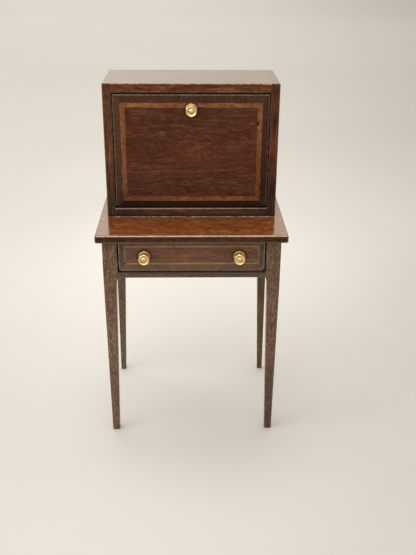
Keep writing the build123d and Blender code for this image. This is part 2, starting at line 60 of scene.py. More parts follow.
class Graph:
    """Adds nodes to one node tree. Any input may be a number, a tuple or another node's output."""

    def __init__(self, tree):
        self.tree = tree

    def add(self, kind, inputs=None, **settings):
        node = self.tree.nodes.new(kind)
        for name, value in settings.items():
            setattr(node, name, value)
        for key, value in (inputs or {}).items():
            self.feed(node.inputs[key], value)
        return node

    def feed(self, socket, value):
        if isinstance(value, bpy.types.NodeSocket):
            self.tree.links.new(value, socket)
        elif socket.type == "RGBA" and len(value) == 3:
            socket.default_value = (*value, 1.0)
        else:
            socket.default_value = value

    def math(self, operation, *values, clamp=False):
        inputs = dict(enumerate(values))
        return self.add("ShaderNodeMath", inputs, operation=operation, use_clamp=clamp).outputs[0]

    def vector(self, operation, *values):
        """The answer is a number for a length or a distance, and a vector otherwise."""
        node = self.add("ShaderNodeVectorMath", dict(enumerate(values)), operation=operation)
        return node.outputs["Value" if operation in ("LENGTH", "DISTANCE") else "Vector"]

    def split(self, vector):
        return self.add("ShaderNodeSeparateXYZ", {0: vector}).outputs

    def join(self, x, y, z):
        return self.add("ShaderNodeCombineXYZ", {0: x, 1: y, 2: z}).outputs[0]

    def noise(self, vector, scale, detail, roughness, distortion=0.0):
        """Fractal noise around 0.5. Scale is in features per unit of the vector."""
        inputs = {"Vector": vector, "Scale": scale, "Detail": detail, "Roughness": roughness}
        inputs["Distortion"] = distortion
        return self.add("ShaderNodeTexNoise", inputs).outputs[0]

    def noise_along(self, distance, scale, detail, roughness):
        """The same in one dimension."""
        inputs = {"W": distance, "Scale": scale, "Detail": detail, "Roughness": roughness}
        return self.add("ShaderNodeTexNoise", inputs, noise_dimensions="1D").outputs[0]

    def fade(self, value, start, end, low=0.0, high=1.0):
        """Goes smoothly from low to high as value goes from start to end."""
        inputs = {0: value, 1: start, 2: end, 3: low, 4: high}
        return self.add("ShaderNodeMapRange", inputs, interpolation_type="SMOOTHSTEP").outputs[0]

    def uneven(self, noise, amount):
        """Noise recentred on zero, from -amount / 2 to amount / 2."""
        return self.math("MULTIPLY", self.math("SUBTRACT", noise, 0.5), amount)

    def mix(self, factor, first, second, blend="MIX"):
        """Blends two colours, from all first at 0 to all second at 1."""
        node = self.add("ShaderNodeMix", data_type="RGBA", blend_type=blend)
        colours = [s for s in node.inputs if s.type == "RGBA"]
        self.feed(node.inputs[0], factor)
        self.feed(colours[0], first)
        self.feed(colours[1], second)
        return [s for s in node.outputs if s.type == "RGBA"][0]

    def tint(self, factor, colour, by):
        """Multiplies a colour by another, from not at all at 0 to fully at 1."""
        return self.mix(factor, colour, by, "MULTIPLY")

    def bump(self, strength, depth_mm, height):
        inputs = {"Strength": strength, "Distance": depth_mm * MM, "Height": height}
        return self.add("ShaderNodeBump", inputs).outputs[0]

    def surface(self, kind, inputs):
        """Ends a material with a shader."""
        shader = self.add(kind, inputs)
        self.add("ShaderNodeOutputMaterial", {"Surface": shader.outputs[0]})
        return shader


def new_material(name):
    """An empty material, and the graph that fills it."""
    material = bpy.data.materials.new(name)
    material.use_nodes = True
    material.node_tree.nodes.clear()
    return material, Graph(material.node_tree)


def object_place(g):
    """The piece's own coordinates in millimetres, which move with its body."""
    place = g.add("ShaderNodeTexCoord").outputs["Object"]
    return g.vector("MULTIPLY", place, (PER_METRE,) * 3)


# ---- Woods --------------------------------------------------------------------------------

# Every NOISE here has its features per millimetre, its levels of detail and its roughness
FIBRE_NOISE = (3.2, 3.0, 0.66)
STREAK_NOISE = (1.3, 3.0, 0.6)
PORE_NOISE = (7.0, 1.0, 0.5)
RING_NOISE = (0.9, 3.0, 0.62)
PATCH_NOISE = (0.16, 2.0, 0.5)
# Figure takes its features per millimetre from the wood, and is distorted too
FIGURE_DETAIL, FIGURE_ROUGHNESS, FIGURE_DISTORTION = 4.0, 0.68, 0.6
WOBBLE_SCALE, WOBBLE_DETAIL = 0.11, 3.0
# How far the grain wanders to either side, in mm, and how far its wandering, the figure and the
# redder patches are drawn out along it
WOBBLE_MM = 1.3
WOBBLE_STRETCH = 0.35
FIGURE_STRETCH = 0.6
PATCH_STRETCH = 0.5
# How far the summed pattern goes from zero to reach the darkest or the lightest wood
TONE_SPAN = 0.42
# The redder patches' tint, and the noise at which they start and are complete
REDDER_TINT = (1.12, 0.84, 0.74)
REDDER_FROM, REDDER_TO = 0.4, 0.62
# Pores open where their noise is over a limit, which is lower where the rings' noise is high
PORE_LIMIT = 0.57
PORE_RING_SHIFT = -0.25
PORE_EDGE = 0.09
PORE_BLACKNESS = 0.6

# What a wood says about its pattern, in the order of the shared group's inputs
PATTERN_INPUTS = (
    "fibre", "fibre_stretch", "streak", "streak_stretch", "ring", "figure", "figure_scale", "pores",
    "redness",
)


def make_grain_group():
    """One shared pattern of wood, with its grain along X, in millimetres."""
    group = bpy.data.node_groups.new("wood_grain", "ShaderNodeTree")
    sockets = group.interface
    sockets.new_socket("position", in_out="INPUT", socket_type="NodeSocketVector")
    for name in ("dark", "middle", "light"):
        sockets.new_socket(name, in_out="INPUT", socket_type="NodeSocketColor")
    for name in PATTERN_INPUTS:
        sockets.new_socket(name, in_out="INPUT", socket_type="NodeSocketFloat")
    sockets.new_socket("colour", in_out="OUTPUT", socket_type="NodeSocketColor")
    sockets.new_socket("height", in_out="OUTPUT", socket_type="NodeSocketFloat")
    g = Graph(group)
    given = g.add("NodeGroupInput").outputs
    place = given["position"]

    wobble = g.add("ShaderNodeTexNoise", {
        "Vector": g.vector("MULTIPLY", place, (WOBBLE_STRETCH, 1.0, 1.0)),
        "Scale": WOBBLE_SCALE,
        "Detail": WOBBLE_DETAIL,
    }).outputs["Color"]
    shift = g.vector("SUBTRACT", wobble, (0.5, 0.5, 0.5))
    shift = g.vector("MULTIPLY", shift, (0.0, 2.0 * WOBBLE_MM, 2.0 * WOBBLE_MM))
    place = g.vector("ADD", place, shift)

    def drawn_out(stretch):
        return g.vector("MULTIPLY", place, g.join(stretch, 1.0, 1.0))

    from_heart = g.vector("LENGTH", g.vector("MULTIPLY", place, (0.0, 1.0, 1.0)))
    figure_noise = (given["figure_scale"], FIGURE_DETAIL, FIGURE_ROUGHNESS, FIGURE_DISTORTION)
    ring = g.noise_along(from_heart, *RING_NOISE)
    fibre = g.noise(drawn_out(given["fibre_stretch"]), *FIBRE_NOISE)
    streak = g.noise(drawn_out(given["streak_stretch"]), *STREAK_NOISE)
    figure = g.noise(drawn_out(FIGURE_STRETCH), *figure_noise)
    pore = g.noise(drawn_out(given["fibre_stretch"]), *PORE_NOISE)
    patch = g.noise(drawn_out(PATCH_STRETCH), *PATCH_NOISE)

    tone = 0.0
    for part, amount in (
        (fibre, given["fibre"]),
        (streak, given["streak"]),
        (ring, given["ring"]),
        (figure, given["figure"]),
    ):
        tone = g.math("MULTIPLY_ADD", g.math("SUBTRACT", part, 0.5), amount, tone)
    colour = g.mix(g.fade(tone, 0.0, -TONE_SPAN), given["middle"], given["dark"])
    colour = g.mix(g.fade(tone, 0.0, TONE_SPAN), colour, given["light"])
    redder = g.tint(1.0, colour, REDDER_TINT)
    redder_here = g.math("MULTIPLY", g.fade(patch, REDDER_FROM, REDDER_TO), given["redness"])
    colour = g.mix(redder_here, colour, redder)

    pore_limit = g.math("ADD", g.uneven(ring, PORE_RING_SHIFT), PORE_LIMIT)
    depth = g.fade(g.math("SUBTRACT", pore, pore_limit), 0.0, PORE_EDGE)
    shade = g.math("MULTIPLY", depth, given["pores"])
    colour = g.mix(shade, colour, g.mix(PORE_BLACKNESS, given["dark"], (0.0, 0.0, 0.0)))

    height = g.math("MULTIPLY_ADD", depth, -1.0, g.math("MULTIPLY", fibre, 0.5))
    g.add("NodeGroupOutput", {"colour": colour, "height": height})
    return group


GRAIN = make_grain_group()

# The darkest, middle and lightest wood. Then how strongly each part of the pattern shows and how
# far it is drawn out along the grain (small is long), the roughness and the relief.
WOODS = {
    "case": dict(
        dark=(0.060, 0.021, 0.009), middle=(0.122, 0.046, 0.019), light=(0.23, 0.095, 0.040),
        fibre=1.3, fibre_stretch=0.14, streak=1.7, streak_stretch=0.12, ring=0.8, figure=0.8,
        figure_scale=0.6, pores=0.6, redness=0.6, roughness=0.2, relief=0.08,
    ),
    "top": dict(
        dark=(0.115, 0.028, 0.007), middle=(0.225, 0.064, 0.0145), light=(0.38, 0.132, 0.035),
        fibre=1.1, fibre_stretch=0.2, streak=0.9, streak_stretch=0.12, ring=0.2, figure=1.8,
        figure_scale=0.6, pores=0.25, redness=0.5, roughness=0.14, relief=0.03,
    ),
    "leg": dict(
        dark=(0.063, 0.032, 0.0165), middle=(0.148, 0.077, 0.038), light=(0.285, 0.16, 0.083),
        fibre=2.8, fibre_stretch=0.3, streak=0.8, streak_stretch=0.15, ring=0.3, figure=0.6,
        figure_scale=0.7, pores=0.7, redness=0.5, roughness=0.34, relief=0.4,
    ),
    "field": dict(
        dark=(0.062, 0.018, 0.008), middle=(0.108, 0.035, 0.0155), light=(0.19, 0.068, 0.030),
        fibre=1.5, fibre_stretch=0.13, streak=1.15, streak_stretch=0.09, ring=0.3, figure=0.7,
        figure_scale=0.7, pores=0.6, redness=0.8, roughness=0.2, relief=0.1,
    ),
    "crossbanding": dict(
        dark=(0.030, 0.014, 0.008), middle=(0.057, 0.027, 0.015), light=(0.105, 0.053, 0.030),
        fibre=1.1, fibre_stretch=0.25, streak=0.7, streak_stretch=0.25, ring=0.2, figure=0.6,
        figure_scale=0.6, pores=0.35, redness=0.5, roughness=0.2, relief=0.1,
    ),
    "band": dict(
        dark=(0.155, 0.056, 0.017), middle=(0.265, 0.10, 0.031), light=(0.40, 0.175, 0.066),
        fibre=1.2, fibre_stretch=0.25, streak=0.8, streak_stretch=0.2, ring=0.2, figure=1.7,
        figure_scale=0.9, pores=0.3, redness=0.5, roughness=0.2, relief=0.08,
    ),
    # The fall's field veneer again, lighter and greyer: a painted reflection of the pale floor
    "drawer_field": dict(
        dark=(0.086, 0.038, 0.0175), middle=(0.155, 0.066, 0.029), light=(0.245, 0.11, 0.049),
        fibre=1.1, fibre_stretch=0.1, streak=1.6, streak_stretch=0.07, ring=0.3, figure=0.6,
        figure_scale=0.7, pores=0.45, redness=0.4, roughness=0.25, relief=0.15,
    ),
    "drawer_crossbanding": dict(
        dark=(0.086, 0.044, 0.022), middle=(0.150, 0.074, 0.0365), light=(0.235, 0.12, 0.061),
        fibre=1.0, fibre_stretch=0.25, streak=0.6, streak_stretch=0.2, ring=0.2, figure=0.8,
        figure_scale=0.6, pores=0.35, redness=0.4, roughness=0.25, relief=0.15,
    ),
    "stringing": dict(
        dark=(0.19, 0.10, 0.050), middle=(0.33, 0.19, 0.10), light=(0.46, 0.29, 0.16),
        fibre=0.9, fibre_stretch=0.15, streak=0.4, streak_stretch=0.15, ring=0.2, figure=1.0,
        figure_scale=0.4, pores=0.2, redness=0.5, roughness=0.24, relief=0.08,
    ),
    "interior": dict(
        dark=(0.07, 0.026, 0.012), middle=(0.15, 0.062, 0.028), light=(0.25, 0.115, 0.055),
        fibre=1.0, fibre_stretch=0.09, streak=1.0, streak_stretch=0.06, ring=0.9, figure=0.4,
        figure_scale=0.75, pores=0.8, redness=0.4, roughness=0.45, relief=0.35,
    ),
    "lining": dict(
        dark=(0.22, 0.125, 0.06), middle=(0.38, 0.245, 0.13), light=(0.50, 0.35, 0.20),
        fibre=0.8, fibre_stretch=0.09, streak=1.0, streak_stretch=0.06, ring=1.2, figure=0.3,
        figure_scale=0.75, pores=0.25, redness=0.3, roughness=0.6, relief=0.35,
    ),
}

# Where pieces are cut from the log, in millimetres: from its heart, and along it either way
HEART_NEAREST = 25.0
HEART_FARTHEST = 70.0
ALONG_SPREAD = 300.0


def grain_position(g, place, axis):
    """Turns the place so that the grain's axis comes first."""
    x, y, z = g.split(place)
    order = {"x": (x, y, z), "y": (y, z, x), "z": (z, x, y)}[axis]
    return g.join(*order)


def random_offset(seed):
    """Cuts each piece from its own part of the log, so that no two pieces match."""
    draw = random.Random(seed)
    away = draw.uniform(HEART_NEAREST, HEART_FARTHEST)
    turn = draw.uniform(0, 2 * math.pi)
    along = draw.uniform(-ALONG_SPREAD, ALONG_SPREAD)
    return (along, away * math.cos(turn), away * math.sin(turn))


# Which way each side of a piece looks: the axis and whether it is the low or the high side
SIDE_OF = {
    "left": (X, 0), "right": (X, 1),
    "front": (Y, 0), "back": (Y, 1),
    "bottom": (Z, 0), "top": (Z, 1),
}


def edge_distance(g, place, node, edges):
    """Millimetres from the nearest of a board's named edges, each given as two of its sides."""
    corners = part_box(node)
    axes = g.split(place)
    nearest = None
    for edge in edges:
        gaps = []
        for side in edge.split():
            axis, end = SIDE_OF[side]
            gaps.append(g.math("SUBTRACT", axes[axis], corners[end][axis] * PER_METRE))
        gaps = [g.math("MULTIPLY", gap, gap) for gap in gaps]
        distance = g.math("SQRT", g.math("ADD", *gaps))
        nearest = distance if nearest is None else g.math("MINIMUM", nearest, distance)
    return nearest


def across_node(g, place, node, axis):
    """How far along one axis the place is within a node's box, from 0 to 1."""
    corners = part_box(node)
    axes = g.split(place)
    low = corners[0][axis] * PER_METRE
    span = corners[1][axis] * PER_METRE - low
    return g.math("DIVIDE", g.math("SUBTRACT", axes[axis], low), span)


def point_on(node, across, up):
    """A point on a face, in mm, by how far across and up the node's box it is."""
    low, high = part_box(node)
    x = low.x + (high.x - low.x) * across
    z = low.z + (high.z - low.z) * up
    return x * PER_METRE, z * PER_METRE


def face_distance(g, place, point, squeeze=(1.0, 1.0)):
    """Millimetres from a point on an upright face, times a squeeze across and up."""
    x, _, z = g.split(place)
    aside = g.math("MULTIPLY", g.math("SUBTRACT", x, point[0]), squeeze[0])
    above = g.math("MULTIPLY", g.math("SUBTRACT", z, point[1]), squeeze[1])
    return g.vector("LENGTH", g.join(aside, above, 0.0))


# Rubbed edges, which along arrises, bevels and rounded edges are also painted highlights: broad
# patches, with fine specks in them that never hide the wear completely.
# Wear, joint lines, painted shadows in gaps, spots and scores are at their strongest within this
# share of their width.
WEAR_PATCH_NOISE = (0.7, 3.0, 0.6)
WEAR_SPECK_NOISE = (3.5, 2.0, 0.5)
WEAR_SPECK_LEAST = 0.6
WEAR_FULL_WITHIN = 0.35
LINE_FULL_WITHIN = 0.4
MARK_FULL_WITHIN = 0.5


def add_wear_and_highlight(g, place, colour, distance, width, strength, worn_and_highlit, least=0.0):
    """Lightens an edge where its finish is rubbed and, on arrises and bevels, paints a highlight
    there; unevenly along it, and nowhere below least.
    """
    patch = g.fade(g.noise(place, *WEAR_PATCH_NOISE), 0.36, 0.6, least, 1.0)
    speck = g.fade(g.noise(place, *WEAR_SPECK_NOISE), 0.3, 0.6, WEAR_SPECK_LEAST, 1.0)
    near = g.fade(distance, width, width * WEAR_FULL_WITHIN)
    rubbed_and_highlit = g.math("MULTIPLY", near, patch)
    amount = g.math("MULTIPLY", rubbed_and_highlit, g.math("MULTIPLY", speck, strength))
    return g.mix(amount, colour, worn_and_highlit), amount


# Old polish: darker patches on every piece, how far its roughness goes from the wood's own, and
# how much rougher it is where it is worn
DARK_PATCH_NOISE = (0.09, 2.0, 0.5)
DARK_PATCH_MOST = 0.3
DARK_PATCH_TINT = (0.66, 0.64, 0.64)
GLOSS_NOISE = (0.5, 3.0, 0.6)
GLOSSIEST, DULLEST = 0.85, 1.25
WORN_ROUGHER = 0.2
RELIEF_MM = 0.02


def fill_slots(mesh, material):
    """Puts a material in every slot of a CAD mesh, or in a first one."""
    if not mesh.materials:
        mesh.materials.append(material)
    for index in range(len(mesh.materials)):
        mesh.materials[index] = material


def coat_node(name, look, grain, wear_and_highlights=(), lines_and_gap_shadows=(), extras=()):
    """Gives a CAD node its own wood, what age added to it, and the light and shade painted on it.

    Wear, which on some edges is also a painted highlight, is (edges or distance, mm wide, strength,
    colour, least), and a line, which is a joint, a mitre or a painted shadow in a gap, is
    (distance, mm wide, strength, colour).
    """
    wood = WOODS[look]
    material, g = new_material(f"{name}_wood")
    place = object_place(g)
    cut = g.vector("ADD", grain_position(g, place, grain), random_offset(name))
    pattern = g.add("ShaderNodeGroup", node_tree=GRAIN)
    g.feed(pattern.inputs["position"], cut)
    for part in ("dark", "middle", "light") + PATTERN_INPUTS:
        g.feed(pattern.inputs[part], wood[part])
    colour = pattern.outputs["colour"]
    height = pattern.outputs["height"]

    patch = g.fade(g.noise(place, *DARK_PATCH_NOISE), 0.35, 0.65, 0.0, DARK_PATCH_MOST)
    colour = g.tint(patch, colour, DARK_PATCH_TINT)
    for extra in extras:
        colour = extra(g, place, colour)
    rubbed_and_highlit = 0.0
    for edges, width, strength, worn_and_highlit, *least in wear_and_highlights:
        distance = edges(g, place) if callable(edges) else edge_distance(g, place, name, edges)
        colour, amount = add_wear_and_highlight(g, place, colour, distance, width, strength, worn_and_highlit, *least)
        rubbed_and_highlit = g.math("ADD", rubbed_and_highlit, amount, clamp=True)
    for distance, width, strength, line_colour in lines_and_gap_shadows:
        line = g.fade(distance(g, place), width, width * LINE_FULL_WITHIN, 0.0, strength)
        colour = g.mix(line, colour, line_colour)

    gloss = g.noise(place, *GLOSS_NOISE)
    usual = wood["roughness"]
    roughness = g.fade(gloss, 0.25, 0.75, usual * GLOSSIEST, usual * DULLEST)
    roughness = g.math("MULTIPLY_ADD", rubbed_and_highlit, WORN_ROUGHER, roughness)
    g.surface("ShaderNodeBsdfPrincipled", {
        "Base Color": colour,
        "Roughness": roughness,
        "Normal": g.bump(wood["relief"], RELIEF_MM, height),
    })
    fill_slots(nodes[name].data, material)


# ---- What age and use add to a wood, and painted light and shade --------------------------

SPOT_NOISE = (2.2, 2.0, 0.6)
FLECK_NOISE = (2.3, 2.0, 0.6)
FLECK_STRETCH = 0.35
# A painted shadow round a knob, which is full up to the flange and fades out beyond it, in mm
KNOB_SHADOW_OUTER, KNOB_SHADOW_INNER = 2.5, 1.7
KNOB_SHADOW_STRENGTH = 0.75
KNOB_SHADOW_COLOUR = (0.012, 0.006, 0.003)


def toned(node, axis, start, end, tint):
    """Multiplies the colour by a tint, from none at start to all of it at end, along an axis.

    Start and end are shares of the node's box.
    """
    def extra(g, place, colour):
        amount = g.fade(across_node(g, place, node, axis), start, end)
        return g.tint(amount, colour, tint)
    return extra


def tinted(tint):
    """Multiplies the whole piece's colour by a tint."""
    def extra(g, place, colour):
        return g.tint(1.0, colour, tint)
    return extra


def spotted(point, radius, strength, spot, squeeze=(1.0, 1.0)):
    """A soft-edged, slightly ragged spot of a colour on an upright face."""
    def extra(g, place, colour):
        ragged = g.uneven(g.noise(place, *SPOT_NOISE), radius)
        distance = g.math("ADD", face_distance(g, place, point, squeeze), ragged)
        amount = g.fade(distance, radius, radius * MARK_FULL_WITHIN, 0.0, strength)
        return g.mix(amount, colour, spot)
    return extra


def flecked(point, radius, strength, fleck, squeeze):
    """Bright flecks along the grain, thickest around one point."""
    def extra(g, place, colour):
        drawn_out = g.vector("MULTIPLY", place, (FLECK_STRETCH, 1.0, 1.0))
        flecks = g.fade(g.noise(drawn_out, *FLECK_NOISE), 0.5, 0.66)
        around = g.fade(face_distance(g, place, point, squeeze), radius, radius * 0.2)
        amount = g.math("MULTIPLY", flecks, g.math("MULTIPLY", around, strength))
        return g.mix(amount, colour, fleck)
    return extra


def knob_shadow_ring(knob):
    """A painted shadow in a dark ring around a knob's flange."""
    def extra(g, place, colour):
        distance = face_distance(g, place, point_on(knob, 0.5, 0.5))
        ring = g.fade(distance, KNOB_SHADOW_OUTER, KNOB_SHADOW_INNER, 0.0, KNOB_SHADOW_STRENGTH)
        return g.mix(ring, colour, KNOB_SHADOW_COLOUR)
    return extra


def scored(start, end, width, strength, mark):
    """A short straight mark between two points on an upright face, in mm."""
    length = math.hypot(end[0] - start[0], end[1] - start[1])
    along_x, along_z = (end[0] - start[0]) / length, (end[1] - start[1]) / length

    def extra(g, place, colour):
        x, _, z = g.split(place)
        x, z = g.math("SUBTRACT", x, start[0]), g.math("SUBTRACT", z, start[1])
        along = g.math("MULTIPLY_ADD", x, along_x, g.math("MULTIPLY", z, along_z))
        aside = g.math("MULTIPLY_ADD", x, along_z, g.math("MULTIPLY", z, -along_x))
        before, after = g.math("MULTIPLY", along, -1.0), g.math("SUBTRACT", along, length)
        distance = g.math("MAXIMUM", g.math("ABSOLUTE", aside), g.math("MAXIMUM", before, after))
        amount = g.fade(distance, width, width * MARK_FULL_WITHIN, 0.0, strength)
        return g.mix(amount, colour, mark)
    return extra


# ---- The CAD nodes' woods -----------------------------------------------------------------

# The colours that rubbed edges show. All but the beige and the red are partly painted highlights
# too, along arrises, bevels and rounded edges
BEIGE_WEAR = (0.60, 0.43, 0.30)
ARRIS_WEAR_AND_HIGHLIGHT = (0.88, 0.68, 0.52)
GREY_WEAR_AND_HIGHLIGHT = (0.17, 0.13, 0.105)
UPRIGHT_WEAR_AND_HIGHLIGHT = (0.27, 0.215, 0.18)
RED_WEAR = (0.30, 0.15, 0.08)
RAIL_WEAR_AND_HIGHLIGHT = (0.32, 0.22, 0.17)
DRAWER_WEAR_AND_HIGHLIGHT = (0.42, 0.32, 0.24)
LEG_WEAR_AND_HIGHLIGHT = (0.30, 0.19, 0.12)
# The dark of cracks and scratches, also painted shadow in gaps at the cabinet's foot and the rail
SOOT_AND_GAP_SHADOW = (0.010, 0.005, 0.003)

# A leg's straight taper starts above the first height and ends this far below the front rail
FOOT_CHAMFER_TOP = 0.05
KNEE_BELOW_RAIL = 0.5


def leg_levels(name):
    """A leg's outlines from the foot up: each has its height, its lowest and its highest x, y."""
    rows = {}
    for vertex in nodes[name].data.vertices:
        rows.setdefault(round(vertex.co.z * PER_METRE, 1), []).append(vertex.co * PER_METRE)
    levels = []
    for height in sorted(rows):
        xs, ys = [p.x for p in rows[height]], [p.y for p in rows[height]]
        levels.append((height, (min(xs), min(ys)), (max(xs), max(ys))))
    return levels


def leg_edges(name, corners):
    """Distance from a tapered leg's long edges, each given by its x and y sides: 0 low, 1 high."""
    levels = leg_levels(name)
    rail_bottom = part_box("front_rail")[0].z * PER_METRE
    foot = next(level for level in levels if level[0] > FOOT_CHAMFER_TOP)
    knee = [level for level in levels if level[0] < rail_bottom - KNEE_BELOW_RAIL][-1]

    def distance(g, place):
        x, y, z = g.split(place)
        nearest = None
        for corner in corners:
            gaps = []
            for value, axis, end in ((x, X, corner[0]), (y, Y, corner[1])):
                line = g.add("ShaderNodeMapRange", {
                    0: z, 1: foot[0], 2: knee[0], 3: foot[1 + end][axis], 4: knee[1 + end][axis],
                })
                gaps.append(g.math("SUBTRACT", value, line.outputs[0]))
            away = g.vector("LENGTH", g.join(gaps[0], gaps[1], 0.0))
            nearest = away if nearest is None else g.math("MINIMUM", nearest, away)
        return nearest

    return distance


# A painted highlight on the table top in front of the cabinet, in mm: its line's middle and half
# width, and its wandering
CONTACT_LINE_AHEAD = 0.45
CONTACT_LINE_HALF = 0.38
CONTACT_LINE_SOLID_HALF = 0.15
CONTACT_LINE_WANDER = 0.3
CONTACT_LINE_WANDER_NOISE = (0.7, 3.0, 0.6)
CONTACT_LINE_BREAK_NOISE = (0.45, 4.0, 0.75)
CONTACT_LINE_FAINTEST, CONTACT_LINE_STRONGEST = 0.12, 0.85
CONTACT_HIGHLIGHT_COLOUR = (0.75, 0.66, 0.55)
# A painted shadow on the table top at the cabinet's foot: its colour and strength, and where it
# starts and is full, in mm in front of the cabinet
CONTACT_SHADOW_COLOUR = (0.05, 0.02, 0.008)
CONTACT_SHADOW_STRENGTH = 0.5
CONTACT_SHADOW_OUTER, CONTACT_SHADOW_INNER = 1.5, 0.4

# The table top's edges are painted in shade, darker and less red than its upper face, starting
# and complete this far below the upper face
EDGE_SHADE_FROM, EDGE_SHADE_TO = 0.2, 0.5
EDGE_SHADE_TINT = (0.34, 0.42, 0.66)


def contact_highlight_and_shadow(g, place, colour):
    """A painted highlight in a broken pale line on the table top in front of the cabinet, and a
    painted shadow on it at the cabinet's foot.
    """
    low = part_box("cabinet_floor")[0] * PER_METRE
    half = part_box("cabinet_side_right")[1].x * PER_METRE
    x, y, z = g.split(place)
    wander = g.uneven(g.noise_along(x, *CONTACT_LINE_WANDER_NOISE), CONTACT_LINE_WANDER)
    ahead = g.math("SUBTRACT", low.y, g.math("ADD", y, wander))
    across = g.fade(g.math("ABSOLUTE", x), half, half - 0.15)
    off_line = g.math("ABSOLUTE", g.math("SUBTRACT", ahead, CONTACT_LINE_AHEAD))
    line = g.math("MULTIPLY", g.fade(off_line, CONTACT_LINE_HALF, CONTACT_LINE_SOLID_HALF), across)
    broken = g.noise_along(x, *CONTACT_LINE_BREAK_NOISE)
    broken = g.fade(broken, 0.38, 0.62, CONTACT_LINE_FAINTEST, CONTACT_LINE_STRONGEST)
    shadow = g.fade(ahead, CONTACT_SHADOW_OUTER, CONTACT_SHADOW_INNER)
    shadow = g.math("MULTIPLY", shadow, across)
    colour = g.mix(g.math("MULTIPLY", shadow, CONTACT_SHADOW_STRENGTH), colour, CONTACT_SHADOW_COLOUR)
    upper = g.fade(z, low.z - 0.5, low.z - 0.1)
    amount = g.math("MULTIPLY", g.math("MULTIPLY", line, broken), upper)
    return g.mix(amount, colour, CONTACT_HIGHLIGHT_COLOUR)


def edge_painted_shade(g, place, colour):
    """Painted shade: the table top's edges are darker and less red than its upper face."""
    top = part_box("table_top")[1].z * PER_METRE
    below = g.math("SUBTRACT", top, g.split(place)[2])
    return g.tint(g.fade(below, EDGE_SHADE_FROM, EDGE_SHADE_TO), colour, EDGE_SHADE_TINT)


# Two old cracks across the left front leg, by their share of its height
LEG_CRACKS = (0.202, 0.216)


def leg_crack(name, level):
    """A dark line across the front of a leg."""
    return scored(point_on(name, 0.0, level), point_on(name, 1.0, level), 0.12, 0.5, SOOT_AND_GAP_SHADOW)


def near_edge(node, edge):
    """Distance from one edge of a board."""
    return lambda g, place: edge_distance(g, place, node, (edge,))


def dress_table():
    coat_node("table_top", "top", "x", wear_and_highlights=[
        # Wear along the front edges, partly a painted highlight on the arris and the lower edge
        (("front top",), 0.42, 1.0, ARRIS_WEAR_AND_HIGHLIGHT, 0.65),
        (("left top", "right top", "back top"), 0.35, 0.6, BEIGE_WEAR, 0.2),
        (("front bottom",), 0.42, 0.9, LEG_WEAR_AND_HIGHLIGHT, 0.6),
    ], extras=[
        edge_painted_shade,
        contact_highlight_and_shadow,
        # Painted shade: the top is darker towards both ends
        toned("table_top", X, 0.11, 0.05, (0.72, 0.64, 0.5)),
        toned("table_top", X, 0.9, 0.96, (0.8, 0.88, 0.66)),
    ])
    extras = {
        "leg_front_left": [
            *(leg_crack("leg_front_left", level) for level in LEG_CRACKS),
            toned("leg_front_left", Z, 0.25, 0.4, (1.26, 1.3, 1.28)),
            toned("leg_front_left", Z, 0.55, 0.7, (0.86, 0.84, 0.85)),
        ],
        "leg_front_right": [toned("leg_front_right", Z, 0.6, 0.1, (0.52, 0.62, 0.64))],
        "leg_back_left": [tinted((0.9, 1.03, 1.03))],
        "leg_back_right": [tinted((0.78, 0.68, 0.40))],
    }
    for end in ("front", "back"):
        for hand in HANDS:
            name = f"leg_{end}_{hand}"
            near = 0 if end == "front" else 1
            edges = leg_edges(name, ((0, near), (1, near)))
            wear_and_highlights = [(edges, 0.3, 0.5, LEG_WEAR_AND_HIGHLIGHT, 0.15)]
            coat_node(name, "leg", "z", wear_and_highlights, extras=extras[name])
    for hand in HANDS:
        coat_node(f"apron_{hand}", "leg", "y", wear_and_highlights=[((f"{hand} bottom",), 0.3, 0.6, RED_WEAR)])
        coat_node(f"drawer_runner_{hand}", "lining", "y")
        coat_node(f"drawer_guide_{hand}", "lining", "y")
        coat_node(f"drawer_stop_{hand}", "lining", "x")
    coat_node("apron_back", "leg", "x", wear_and_highlights=[(("back bottom",), 0.3, 0.6, RED_WEAR)])
    coat_node("front_rail", "leg", "x", wear_and_highlights=[
        # Wear along the lower front edge, partly a painted highlight
        (("front bottom",), 0.35, 0.6, LEG_WEAR_AND_HIGHLIGHT, 0.4),
    ], lines_and_gap_shadows=[
        # Painted shadow in the gap above the rail, under the drawer
        (near_edge("front_rail", "front top"), 0.5, 0.8, SOOT_AND_GAP_SHADOW),
    ], extras=[tinted((0.66, 0.76, 0.8))])


def opening_edge(name, side):
    """Distance from a cabinet side's inner front edge, along the opening's own height only."""
    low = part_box("cabinet_floor")[1].z * PER_METRE
    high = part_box("cabinet_top")[0].z * PER_METRE

    def distance(g, place):
        z = g.split(place)[2]
        past = g.math("MAXIMUM", g.math("SUBTRACT", low, z), g.math("SUBTRACT", z, high))
        past = g.math("MAXIMUM", past, 0.0)
        return g.math("ADD", edge_distance(g, place, name, (f"front {side}",)), past)

    return distance


